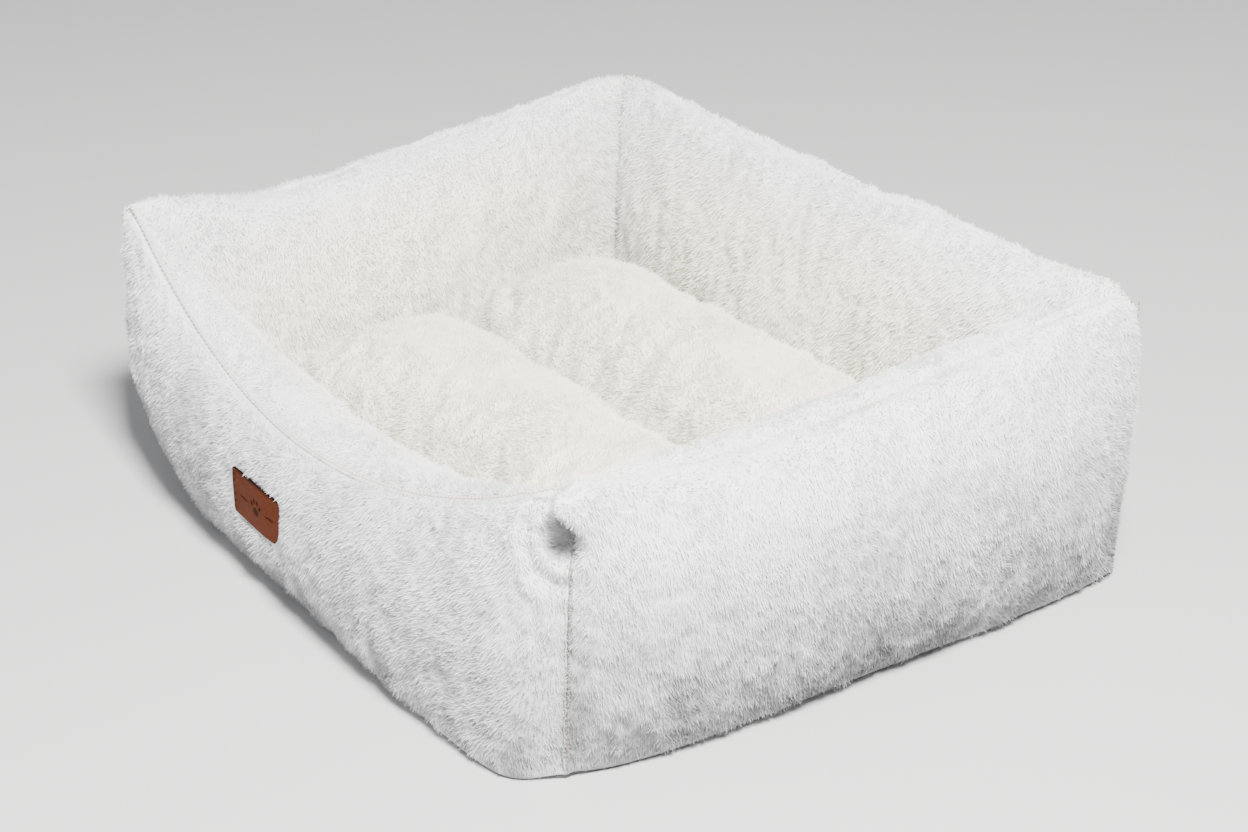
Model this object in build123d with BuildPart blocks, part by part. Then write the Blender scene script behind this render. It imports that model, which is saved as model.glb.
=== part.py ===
"""Rectangular plush pet bed.

Four stuffed bolster walls stand on a padded base and meet in bound, mitred corner seams.
Each wall is an outer and an inner plush panel, sewn together along the crown, round a
fibre filling. The front wall dips to let the animal in. A loose, two-lobed seat cushion
with a sewn channel lies in the well; a zip closes its rear edge. A leather tag is sewn
to the front.

Frame: millimetres, +Z up, the origin on the floor under the middle, -Y to the front and
+X to the right of someone who faces the front.
"""

import os
from math import sqrt

from build123d import *

# ---- Driving dimensions ------------------------------------------------------------
seam_span_x = 554.0  # between the corner seams, along the front
seam_span_y = 446.0  # between the corner seams, front to rear
corner_height = {
    "front_left": 203.0,
    "front_right": 194.0,
    "rear_right": 211.0,
    "rear_left": 217.0,
}
plush_skin = 4.0  # fabric and pressed pile
fit_gap = 0.3  # between pieces that lie against each other

# Walls
wall_depth = 72.0  # from the corner seam line to the inner foot, at mid length
seam_depth = 12.0  # the same at the ends, where the panels are sewn together
wall_fullness = 0.58  # exponent: how quickly a wall swells away from its ends
front_bow, side_bow = 24.0, 27.0  # how far the outer foot bows out at mid length
foot_tuck = 10.0  # how far the foot turns under, in from the bow
outer_belly, inner_belly = 22.0, 20.0  # how far the control points pull the faces out
crown_puff = 16.0  # how far the inner panel swells above the crown seam
outer_lift = 3.0  # the same for the outer panel

# Base
bottom_skin = 1.6  # non-slip bottom fabric
pad_thickness = 8.0
base_top_skin = 3.0
pad_gap = 5.0  # between the padding's edge and the walls' feet

# Corner seam allowance: a folded strip that stands between two walls' mitred ends
allowance_width, allowance_depth = 2.4, 12.0
allowance_inset = 3.0  # from the corner's outer edge
allowance_recess = 0.8  # how far its edges keep below the walls' faces

# Seat cushion
cushion_skin = 3.0
cushion_gap = 2.5  # between the cushion and the walls, over the whole lift
rest_gap = 0.4  # between the cushion and the base
cushion_height = 110.0  # from its underside to the lobes' crests
rim_share = 0.30  # the rim seam's height as a share of that
channel_width = 7.0
lobe_fullness = 0.5  # exponent: how quickly a lobe swells away from its ends
rim_end_rise = 6.0  # how far the lobes still rise at the cushion's two ends

# Zip in the cushion's rear edge
zip_length = 240.0
zip_gap = 1.4  # between the two halves of the chain
tape_width, tape_thickness = 8.3, 0.8
coil_width, coil_thickness = 2.3, 2.0
stop_length = 2.4
slider_length, slider_plate, slider_flange = 10.0, 1.0, 1.0
slider_play = 0.3
bail_height, bail_wire = 2.0, 1.2
rear_edge_gap = 3.5  # between the zipped edge and the rear wall

# Leather tag
tag_width, tag_height, tag_thickness, tag_corner = 70.0, 34.0, 1.6, 2.0
tag_x, tag_z = -33.0, 62.0
stitch_length, stitch_width, stitch_thickness = 3.2, 0.9, 0.5
tag_stitches, tag_stitch_inset = 5, 3.5
channel_stitch_pitch, channel_stitch_length = 9.0, 6.0

stations = (-1.0, -0.86, -0.5, 0.0, 0.5, 0.86, 1.0)

half_x, half_y = seam_span_x / 2, seam_span_y / 2
up = Vector(0, 0, 1)


class Wall:
    """One side of the bed, measured along its corner seam line from s = -1 to s = 1."""

    def __init__(self, name, outward, half, offset, ends, low, low_at, rise, bow):
        self.name, self.half, self.offset, self.bow = name, half, offset, bow
        self.outward = Vector(*outward)
        self.along = self.outward.cross(up)
        self.start_height, self.end_height = (corner_height[end] for end in ends)
        self.low, self.low_at, self.rise = low, low_at, rise

    def point(self, s, n, z=0.0):
        """The point n outside the corner seam line, at height z."""
        return self.along * (s * self.half) + self.outward * (self.offset + n) + up * z

    def plane(self, s):
        """Cuts the wall across, with x pointing outwards and y up."""
        return Plane(origin=self.point(s, 0), x_dir=self.outward, z_dir=self.along)

    def crown(self, s):
        """Height of the crown seam: lowest at low_at, rising to both corners."""
        end = self.start_height if s < self.low_at else self.end_height
        reach = 1 + self.low_at if s < self.low_at else 1 - self.low_at
        return self.low + (end - self.low) * (abs(s - self.low_at) / reach) ** self.rise

    def fullness(self, s):
        return (1 - s * s) ** wall_fullness

    def bow_out(self, s):
        return self.bow * (1 - s**4)

    def foot_out(self, s):
        """Where the outer panel is sewn to the bottom panel."""
        return self.bow_out(s) - foot_tuck * self.fullness(s)

    def depth(self, s):
        return seam_depth + (wall_depth - seam_depth) * self.fullness(s)

    def outer_points(self, s, skin):
        """Control points of the outer face, from the foot up to the crown seam."""
        height, full = self.crown(s), self.fullness(s)
        return [
            (self.foot_out(s) - skin, bottom_skin),
            (self.bow_out(s) + outer_belly * full - skin, 0.38 * height),
            (-seam_depth / 2 + 0.3 * self.depth(s) - skin / 2, height + outer_lift * full - skin),
            (-seam_depth / 2, height - skin),
        ]

    def inner_points(self, s, skin):
        """Control points of the inner face, from the crown seam down to the foot."""
        height, depth, full = self.crown(s), self.depth(s), self.fullness(s)
        return [
            (-seam_depth / 2, height - skin),
            (-seam_depth / 2 - 0.45 * (depth - seam_depth), height + crown_puff * full - skin),
            (-depth - inner_belly * full + skin, 0.5 * height),
            (-depth + skin, bottom_skin),
        ]

    def innermost(self, s):
        """How far the inner face reaches in from the corner seam line at its fullest."""
        a, b, c, d = (-point[0] for point in self.inner_points(s, 0))
        shares = [k / 40 for k in range(41)]
        return max(
            a * (1 - u) ** 3 + 3 * b * u * (1 - u) ** 2 + 3 * c * u * u * (1 - u) + d * u**3
            for u in shares
        )

    def outermost(self, s):
        """(reach, height) of the fullest point of the outer face."""
        points = self.outer_points(s, 0)
        curve = []
        for k in range(41):
            u = k / 40
            share = ((1 - u) ** 3, 3 * u * (1 - u) ** 2, 3 * u * u * (1 - u), u**3)
            curve.append(tuple(sum(w * p[i] for w, p in zip(share, points)) for i in (0, 1)))
        return max(curve)

    def mitre(self, end, inset):
        """Upright plane through the corner seam at s = end, facing the wall, moved in by inset."""
        towards = (self.outward - self.along * end).normalized()
        return Plane(origin=self.point(end, 0) + towards * inset, z_dir=towards)


# Each wall: its ends, the lowest height of its crown, where that is, and the exponent of
# the rise from there to the ends.
front = Wall(
    "front", (0, -1, 0), half_x, half_y, ("front_right", "front_left"), 112.0, 0.05, 2.0, front_bow
)
rear = Wall("rear", (0, 1, 0), half_x, half_y, ("rear_left", "rear_right"), 204.0, 0.0, 1.8, front_bow)
left = Wall("left", (-1, 0, 0), half_y, half_x, ("front_left", "rear_left"), 181.0, -0.5, 1.2, side_bow)
right = Wall("right", (1, 0, 0), half_y, half_x, ("rear_right", "front_right"), 182.0, 0.35, 1.8, side_bow)
walls = (front, rear, left, right)
corners = {
    "front_left": (front, 1),
    "front_right": (front, -1),
    "rear_left": (rear, -1),
    "rear_right": (rear, 1),
}

os.makedirs("parts", exist_ok=True)


def save(piece, label):
    piece.part.label = label
    export_step(piece.part, f"parts/{label}.step")


def loft_wall(wall, skin, mitred=True):
    """The wall's solid form, skin thinner than its outside."""
    with BuildPart() as form:
        for s in stations:
            outer, inner = wall.outer_points(s, skin), wall.inner_points(s, skin)
            with BuildSketch(wall.plane(s)):
                with BuildLine():
                    Bezier(*outer)
                    Bezier(*inner)
                    Line(inner[-1], outer[0])
                make_face()
        loft()
        if mitred:
            for end in (-1, 1):
                split(bisect_by=wall.mitre(end, fit_gap / 2 + skin), keep=Keep.TOP)
    return form


# ---- Corner seams: the bound allowance of the four panels that meet there -------------
pockets = []
for name, (wall, end) in corners.items():
    corner = wall.point(end, 0)
    inward = (-wall.outward - wall.along * end).normalized()
    allowance_place = Plane(
        origin=corner + inward * (allowance_inset + allowance_depth / 2) + up * bottom_skin,
        x_dir=inward,
        z_dir=up,
    )
    with BuildPart() as corner_seam:
        add(loft_wall(wall, allowance_recess, mitred=False).part)
        with BuildSketch(allowance_place):
            Rectangle(allowance_depth, allowance_width)
        extrude(amount=corner_height[name], mode=Mode.INTERSECT)
    save(corner_seam, f"{name}_corner_seam")
    with BuildPart() as pocket:
        with BuildSketch(allowance_place):
            Rectangle(allowance_depth + 2 * fit_gap, allowance_width + 2 * fit_gap)
        extrude(amount=corner_height[name])
    pockets.append(pocket.part)

# ---- Walls ----------------------------------------------------------------------------
for wall in walls:
    outside = loft_wall(wall, 0)
    filling = loft_wall(wall, plush_skin)
    save(filling, f"{wall.name}_wall_filling")

    crown_line = Plane(origin=wall.point(0, -seam_depth / 2), z_dir=wall.outward)
    for label, side in (("outer", Keep.TOP), ("inner", Keep.BOTTOM)):
        with BuildPart() as panel:
            add(outside.part)
            add(filling.part, mode=Mode.SUBTRACT)
            for pocket in pockets:
                add(pocket, mode=Mode.SUBTRACT)
            split(bisect_by=crown_line, keep=side)
        save(panel, f"{wall.name}_{label}_panel")

# ---- Base -----------------------------------------------------------------------------
with BuildPart() as base_bottom:
    with BuildSketch():
        with BuildLine():
            for wall in walls:
                Spline(*[wall.point(s, wall.foot_out(s)) for s in stations])
        make_face()
    extrude(amount=bottom_skin)
save(base_bottom, "base_bottom_panel")


def mitre_depth():
    """How far in from the seam lines the walls' feet reach where they meet at a mitre."""
    near, far = seam_depth, wall_depth
    for _ in range(40):
        middle = (near + far) / 2
        if max(wall.depth(1 - middle / wall.half) for wall in walls) > middle:
            near = middle
        else:
            far = middle
    return far


def well_outline(gap):
    """The walls' inner feet, moved in by gap, as four curves that meet at the corners."""
    corner_inset = mitre_depth() + gap
    for wall in walls:
        reach = 1 - corner_inset / wall.half
        points = [wall.point(-reach, -corner_inset)]
        points += [wall.point(s, -wall.depth(s) - gap) for s in (-0.5, 0, 0.5)]
        points += [wall.point(reach, -corner_inset)]
        Spline(*points)


pad_top = bottom_skin + pad_thickness
for label, level, thickness in (
    ("base_padding", bottom_skin, pad_thickness),
    ("base_top_panel", pad_top, base_top_skin),
):
    with BuildPart() as layer:
        with BuildSketch(Plane.XY.offset(level)):
            with BuildLine():
                well_outline(pad_gap)
            make_face()
        extrude(amount=thickness)
    save(layer, label)

# ---- Seat cushion ---------------------------------------------------------------------
seat_level = pad_top + base_top_skin
rim_level = seat_level + rest_gap + rim_share * cushion_height
rear_edge = half_y - rear.innermost(0) - rear_edge_gap
cushion_half = half_x - max(left.innermost(0), right.innermost(0)) - cushion_gap
cushion_stations = (-1.0, -0.85, -0.5, 0.0, 0.5, 0.85, 1.0)


def lobe_rise(share, top):
    """How far the lobes' skin stands from the rim seam, above it or below it."""
    crest = cushion_height * (1 - rim_share) if top else cushion_height * rim_share
    # A cubic reaches only three quarters of the way to its middle control points.
    full = (crest - cushion_skin) / 0.75
    end = min(rim_end_rise, full)
    return end + (full - end) * (1 - share**4) ** lobe_fullness


def lobe_edge(share, side):
    """Where the rim runs: along the front it follows the wall, at the rear it is straight."""
    if side > 0:
        return rear_edge
    return -(half_y - front.innermost(share * cushion_half / front.half) - cushion_gap)


def arch(start, end, height):
    """A full arch between two points at one level."""
    shift = 0.04 * (end[0] - start[0])
    Bezier(start, (start[0] + shift, start[1] + height), (end[0] - shift, end[1] + height), end)


def cushion_form():
    """The whole cushion's outside."""
    channel, skin = channel_width / 2, cushion_skin
    with BuildPart() as form:
        for share in cushion_stations:
            front_y, rear_y = lobe_edge(share, -1), lobe_edge(share, 1)
            rise, drop = lobe_rise(share, True), lobe_rise(share, False)
            place = Plane(origin=(share * cushion_half, 0, rim_level), x_dir=(0, 1, 0), z_dir=(1, 0, 0))
            with BuildSketch(place):
                with BuildLine():
                    arch((front_y, skin), (-channel, skin), rise)
                    Line((-channel, skin), (channel, skin))
                    arch((channel, skin), (rear_y, skin), rise)
                    Line((rear_y, skin), (rear_y, -skin))
                    arch((rear_y, -skin), (channel, -skin), -drop)
                    Line((channel, -skin), (-channel, -skin))
                    arch((-channel, -skin), (front_y, -skin), -drop)
                    Line((front_y, -skin), (front_y, skin))
                make_face()
        loft()
    return form


def lobe_filling(side):
    """One lobe's fibre filling, a skin's thickness inside the cushion."""
    channel, skin = channel_width / 2, cushion_skin
    inner_half = cushion_half - skin
    with BuildPart() as form:
        for share in cushion_stations:
            x = share * inner_half
            near, far = side * (channel + skin), lobe_edge(x / cushion_half, side) - side * skin
            rise = lobe_rise(share, True) * 0.985 - skin / 2
            drop = lobe_rise(share, False) * 0.985 - skin / 2
            place = Plane(origin=(x, 0, rim_level), x_dir=(0, 1, 0), z_dir=(1, 0, 0))
            with BuildSketch(place):
                with BuildLine():
                    arch((near, skin / 4), (far, skin / 4), rise)
                    Line((far, skin / 4), (far, -skin / 4))
                    arch((far, -skin / 4), (near, -skin / 4), -drop)
                    Line((near, -skin / 4), (near, skin / 4))
                make_face()
        loft()
    return form


# The zip lies in a recess along the rear edge, with a deeper track for the slider.
tape_face = rear_edge - plush_skin - tape_thickness  # the tape's outer face
coil_face = tape_face + coil_thickness
zip_half = zip_length / 2
recess_half = zip_half + stop_length + 2
slider_half_width = zip_gap / 2 + coil_width + slider_play + slider_flange
with BuildPart() as recess:
    with BuildSketch(Plane.XZ.offset(-rear_edge - 5)):
        with Locations((0, rim_level)):
            Rectangle(2 * recess_half, zip_gap + 2 * tape_width)
    extrude(amount=rear_edge + 5 - tape_face + tape_thickness)
    with BuildSketch(Plane.XZ.offset(-rear_edge - 5)):
        with Locations((0, rim_level)):
            Rectangle(2 * recess_half, 2 * slider_half_width + 2 * slider_play)
    extrude(amount=rear_edge + 5 - tape_face + tape_thickness + slider_plate + 2 * slider_play)

cushion = cushion_form()
fillings = {"front": lobe_filling(-1), "rear": lobe_filling(1)}
for name, lobe in fillings.items():
    with BuildPart() as filling:
        add(lobe.part)
        add(recess.part, mode=Mode.SUBTRACT)
    save(filling, f"{name}_lobe_filling")
for label, side in (("top", Keep.TOP), ("bottom", Keep.BOTTOM)):
    with BuildPart() as panel:
        add(cushion.part)
        for lobe in fillings.values():
            add(lobe.part, mode=Mode.SUBTRACT)
        add(recess.part, mode=Mode.SUBTRACT)
        split(bisect_by=Plane.XY.offset(rim_level), keep=side)
    save(panel, f"cushion_{label}_panel")

# Stitches that hold the cushion's two panels together along the channel.
channel_stitches = int(2 * (cushion_half * 0.8) / channel_stitch_pitch)
with BuildPart() as channel_stitching:
    with BuildSketch(Plane.XY.offset(rim_level + cushion_skin)):
        with GridLocations(channel_stitch_pitch, 1, channel_stitches, 1):
            SlotOverall(channel_stitch_length, stitch_width)
    extrude(amount=stitch_thickness)
save(channel_stitching, "channel_stitching")


# ---- Zip --------------------------------------------------------------------------------
def zip_bar(length, x, width, height, face, thickness):
    """A bar along the zip: width is its size across the chain, face its outer side."""
    with BuildPart() as bar:
        with BuildSketch(Plane.XZ.offset(-face)):
            with Locations((x, rim_level + height)):
                Rectangle(length, width)
        extrude(amount=thickness)
    return bar


tape_middle = zip_gap / 2 + tape_width / 2
coil_middle = zip_gap / 2 + coil_width / 2
for label, sign in (("upper", 1), ("lower", -1)):
    save(
        zip_bar(2 * recess_half, 0, tape_width, sign * tape_middle, tape_face, tape_thickness),
        f"zip_{label}_tape",
    )
    coil = zip_bar(zip_length, 0, coil_width, sign * coil_middle, coil_face, coil_thickness)
    with BuildPart() as rounded_coil:
        add(coil.part)
        outer_edges = rounded_coil.faces().sort_by(Axis.Y)[-1].edges().filter_by(Axis.X)
        fillet(outer_edges, radius=coil_width / 4)
    save(rounded_coil, f"zip_{label}_coil")

with BuildPart() as zip_bottom_stop:
    with BuildSketch(Plane.XZ.offset(-coil_face)):
        with Locations((-zip_half - stop_length / 2, rim_level)):
            RectangleRounded(stop_length, zip_gap + 2 * coil_width, stop_length / 4)
    extrude(amount=coil_thickness)
save(zip_bottom_stop, "zip_bottom_stop")

with BuildPart() as zip_top_stops:
    with BuildSketch(Plane.XZ.offset(-coil_face)):
        with Locations((zip_half + stop_length / 2, rim_level)):
            with GridLocations(1, 2 * coil_middle, 1, 2):
                RectangleRounded(stop_length, coil_width, stop_length / 4)
    extrude(amount=coil_thickness)
save(zip_top_stops, "zip_top_stops")

# The slider stands at the closed end. Its wedge runs in the gap between the two coils.
slider_x = zip_half - slider_length / 2 - slider_play
plate_inside = coil_face + slider_play
plate_outside = plate_inside + slider_plate
rear_plate_face = tape_face - tape_thickness - slider_play
with BuildPart() as zip_slider:
    with BuildSketch(Plane.XZ.offset(-plate_outside)):
        with Locations((slider_x, rim_level)):
            RectangleRounded(slider_length, 2 * slider_half_width, slider_half_width / 3)
    extrude(amount=slider_plate)
    with BuildSketch(Plane.XZ.offset(-rear_plate_face)):
        with Locations((slider_x, rim_level)):
            RectangleRounded(slider_length, 2 * slider_half_width, slider_half_width / 3)
    extrude(amount=slider_plate)
    with BuildSketch(Plane.XZ.offset(-plate_inside)):
        with Locations((slider_x, rim_level)):
            with GridLocations(1, 2 * slider_half_width - slider_flange, 1, 2):
                Rectangle(slider_length * 0.7, slider_flange)
    extrude(amount=plate_inside - tape_face - slider_play)
    with BuildSketch(Plane.XZ.offset(-plate_inside)):
        with Locations((slider_x + slider_length / 4, rim_level)):
            SlotOverall(slider_length / 3, zip_gap - 2 * slider_play)
    extrude(amount=plate_inside - rear_plate_face)
    # The bail, which takes no pull tab, so that nothing hangs out to be chewed.
    with BuildSketch(Plane.XY.offset(rim_level - bail_wire / 2)):
        with Locations((slider_x, plate_outside)):
            bail = Rectangle(slider_length * 0.7, 2 * bail_height)
            Rectangle(slider_length * 0.7 - 2 * bail_wire, 2 * (bail_height - bail_wire), mode=Mode.SUBTRACT)
            with Locations((0, -bail_height)):
                Rectangle(slider_length, 2 * bail_height, mode=Mode.SUBTRACT)
    extrude(amount=bail_wire)
save(zip_slider, "zip_slider")

# ---- Leather tag ------------------------------------------------------------------------
tag_reach = max(front.outermost(s)[0] for s in stations)
tag_back = half_y + tag_reach + fit_gap
tag_plane = Plane(origin=(tag_x, -tag_back, tag_z), x_dir=(1, 0, 0), z_dir=(0, -1, 0))
with BuildPart() as leather_tag:
    with BuildSketch(tag_plane):
        RectangleRounded(tag_width, tag_height, tag_corner)
    extrude(amount=tag_thickness)
    front_rim = leather_tag.faces().sort_by(Axis.Y)[0].edges()
    fillet(front_rim, radius=tag_thickness / 4)
save(leather_tag, "leather_tag")

stitch_pitch = (tag_height - 2 * tag_stitch_inset) / tag_stitches
with BuildPart() as tag_stitching:
    with BuildSketch(tag_plane.offset(tag_thickness)):
        with GridLocations(tag_width - 2 * tag_stitch_inset, stitch_pitch, 2, tag_stitches):
            SlotOverall(stitch_length, stitch_width, rotation=90)
    extrude(amount=stitch_thickness)
save(tag_stitching, "tag_stitching")

# ---- The sizes that other descriptions of this bed refer to ------------------------------
print("seat level", round(seat_level, 2), "rim level", round(rim_level, 2))
print("cushion half length", round(cushion_half, 2), "rear edge", round(rear_edge, 2))
print("lobe crest", round(seat_level + cushion_height, 2), "tag back", round(tag_back, 2))
print("slider travel", round(zip_length - slider_length - 2 * slider_play, 2))
print("mitre depth", round(mitre_depth(), 2), "outer reach", [tuple(round(v, 1) for v in w.outermost(0)) for w in walls])
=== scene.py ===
"""Looks of a rectangular plush pet bed, built round its CAD frame.

Stuffed walls and a two-lobed cushion are blown up as cloth, covered in a combed pile, and
finished with sewn seams, a leather tag, a gripping underside and a zip.
"""

import functools
import math

import bpy
import numpy as np
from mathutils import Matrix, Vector


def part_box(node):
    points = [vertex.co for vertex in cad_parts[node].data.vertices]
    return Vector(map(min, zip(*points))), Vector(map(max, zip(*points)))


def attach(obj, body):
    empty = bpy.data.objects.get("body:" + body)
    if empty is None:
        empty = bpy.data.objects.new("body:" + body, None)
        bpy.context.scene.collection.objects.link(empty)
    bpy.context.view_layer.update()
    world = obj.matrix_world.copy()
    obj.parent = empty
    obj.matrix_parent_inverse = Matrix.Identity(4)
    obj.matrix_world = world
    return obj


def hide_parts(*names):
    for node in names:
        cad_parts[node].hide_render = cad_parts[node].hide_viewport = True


bl_info = {
    "name": "Plush Pet Bed",
    "version": (1, 0, 0),
    "blender": (4, 5, 0),
    "location": "View3D > Sidebar > Pet Bed",
    "description": "Builds the stuffed walls, cushion, pile, seams, tag and zip of a pet bed",
    "category": "Object",
}

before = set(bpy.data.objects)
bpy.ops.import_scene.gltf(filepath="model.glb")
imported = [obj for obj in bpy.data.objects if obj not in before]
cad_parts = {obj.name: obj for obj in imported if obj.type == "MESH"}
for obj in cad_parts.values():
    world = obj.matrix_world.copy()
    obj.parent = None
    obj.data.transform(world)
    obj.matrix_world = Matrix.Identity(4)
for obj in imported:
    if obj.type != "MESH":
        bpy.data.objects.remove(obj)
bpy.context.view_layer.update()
MM = 0.001

# ---- Sizes and colours a user would change ----


def length(name, description, default):
    return bpy.props.FloatProperty(
        name=name, description=description, default=default, min=0.0, unit="LENGTH", precision=4
    )


def colour(name, description, default):
    return bpy.props.FloatVectorProperty(
        name=name, description=description, default=default, size=3, min=0, max=1, subtype="COLOR"
    )


def share(name, description, default, top=1.0):
    return bpy.props.FloatProperty(
        name=name, description=description, default=default, min=0.0, max=top, subtype="FACTOR"
    )


class PetBedSizes(bpy.types.PropertyGroup):
    pile_length: length("Pile length", "Length of one lock of the pile", 3.9 * MM)
    pile_width: length("Lock width", "Width of one lock of the pile at its root", 0.9 * MM)
    pile_density: bpy.props.FloatProperty(
        name="Pile density", description="Locks per square metre", default=300000.0, min=0.0
    )
    clump_size: length("Clump size", "Distance between neighbouring clumps of pile", 9.0 * MM)
    clump_depth: length("Clump depth", "Height of the clumps above the hollows", 4.2 * MM)
    seam_parting: length("Seam parting", "Half width of the parting in the pile over a seam", 4.0 * MM)
    groove_depth: length("Groove depth", "How far a seam draws the skin in", 4.0 * MM)
    thread_radius: length("Thread radius", "Radius of the sewing thread", 0.35 * MM)
    stitch_pitch: length("Stitch pitch", "Distance from one stitch to the next", 4.2 * MM)
    grip_pitch: length("Grip pitch", "Distance between the underside's rubber dots", 9.0 * MM)
    grip_radius: length("Grip radius", "Radius of one rubber dot", 1.3 * MM)
    slack: share("Slack", "How much longer the cloth is cut than the form it covers", 0.05)
    pressure: bpy.props.FloatProperty(
        name="Pressure", description="How hard the filling presses on the cloth", default=4.0, min=0.0
    )


class PetBedColours(bpy.types.PropertyGroup):
    wall: colour("Wall pile", "Tips of the walls' pile", (0.90, 0.90, 0.90))
    # Painted shade: the roots are darker than the tips for the shade deep in the pile.
    wall_root_shade: colour("Wall roots", "Roots of the walls' pile", (0.70, 0.70, 0.71))
    # Painted shade: the outer walls' pile darkens towards the floor in this colour, in mottled patches.
    wall_painted_shade: colour("Matted pile", "Pile of the walls where it is rubbed near the floor", (0.17, 0.165, 0.17))
    # The cushion's colours also serve the inner side of the walls; their warm tint on the walls' own fabric is
    # painted bounce light.
    cushion: colour("Cushion pile", "Tips of the cushion's pile", (0.91, 0.885, 0.80))
    cushion_root_warm_shade: colour("Cushion roots", "Roots of the cushion's pile", (0.77, 0.74, 0.64))
    thread: colour("Thread", "Sewing thread of the crown seams", (0.86, 0.80, 0.76))
    corner_thread: colour("Corner thread", "Sewing thread of the corner seams", (0.36, 0.29, 0.22))
    leather: colour("Leather", "Tag's leather", (0.092, 0.0165, 0.0010))
    # The dark leather also lays painted shadow along the tag's top edge.
    leather_dark: colour("Dark leather", "Tag's burnt edge and pressed figure", (0.012, 0.003, 0.0012))
    lining: colour("Lining", "Woven lining of the base", (0.80, 0.78, 0.74))
    underside: colour("Underside", "Non-slip cloth under the base", (0.30, 0.30, 0.31))
    grip: colour("Grip", "Rubber dots of the underside", (0.16, 0.16, 0.165))
    zip_tape: colour("Zip tape", "Woven tape of the zip", (0.80, 0.77, 0.72))
    zip_coil: colour("Zip coil", "Nylon coil of the zip", (0.83, 0.81, 0.76))
    metal: colour("Metal", "Plated metal of the zip's slider", (0.66, 0.65, 0.63))
    floor: colour("Floor", "Studio floor", (0.56, 0.56, 0.56))


# ---- Form of the walls ----
CORNER_HEIGHT = {"front_left": 0.203, "front_right": 0.194, "rear_right": 0.211, "rear_left": 0.217}
EAR_DROP = {"front_left": 0.010, "front_right": 0.012, "rear_right": 0.016, "rear_left": 0.010}
EAR_REACH = 0.028  # how far from a corner its ear starts to round off
# How far each corner's foot is tucked in along its diagonal.
FOOT_TUCK = {"front_left": 0.038, "front_right": 0.0, "rear_right": 0.002, "rear_left": 0.012}
# How far each corner's upright edge stands out in X and Y, and over what distance.
STAND_OUT = {"front_left": (0, 0, 0.06), "front_right": (0.001, 0.008, 0.022), "rear_right": (0.007, 0.008, 0.06),
             "rear_left": (0, 0, 0.06)}
HALF_X, HALF_Y = 0.277, 0.223
WALL_DEPTH, SEAM_DEPTH = 0.072, 0.012
FOOT_LEVEL = 1.2 * MM
END_GAP = 0.2 * MM  # left open at each corner, for the corner seam
GATHER = np.array([HALF_X - 0.003, -HALF_Y + 0.005, 0.157])  # where the front right ear is drawn in
GATHER_SHAPE = (1.0, 1.0, 0.85)
ROWS = 40  # cells up each face of a wall
UNDER_ROWS = 14  # rows across a wall's foot
CELL = 5.2 * MM
FULLNESS = 0.58  # power of the curve by which a wall fills out from its ends
TAG_X, TAG_Z, TAG_W, TAG_H = -0.033, 0.062, 0.070, 0.034
ZIP_BAND = 0.024  # half height of the bare band behind the zip
PAINTED_SHADE_HEIGHT = 0.150  # up to which the outer walls' pile darkens with painted shade
CLOTH_STEPS = 20
BROADENING_ROUNDS = 14


def bell(distance, width):
    return np.exp(-((distance / width) ** 2))


def fade(distance, reach):
    """1 at no distance, falling evenly to 0 at the reach."""
    return np.clip(1 - distance / reach, 0, 1)


def spread_from(points, centre, shape=(1.0, 1.0, 1.0)):
    """Each point's distance from the centre, measured in the given shape."""
    return np.linalg.norm((points - centre) * shape, axis=1)


def corner_side(name):
    return np.array([1.0 if "right" in name else -1.0, 1.0 if "rear" in name else -1.0])


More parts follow.
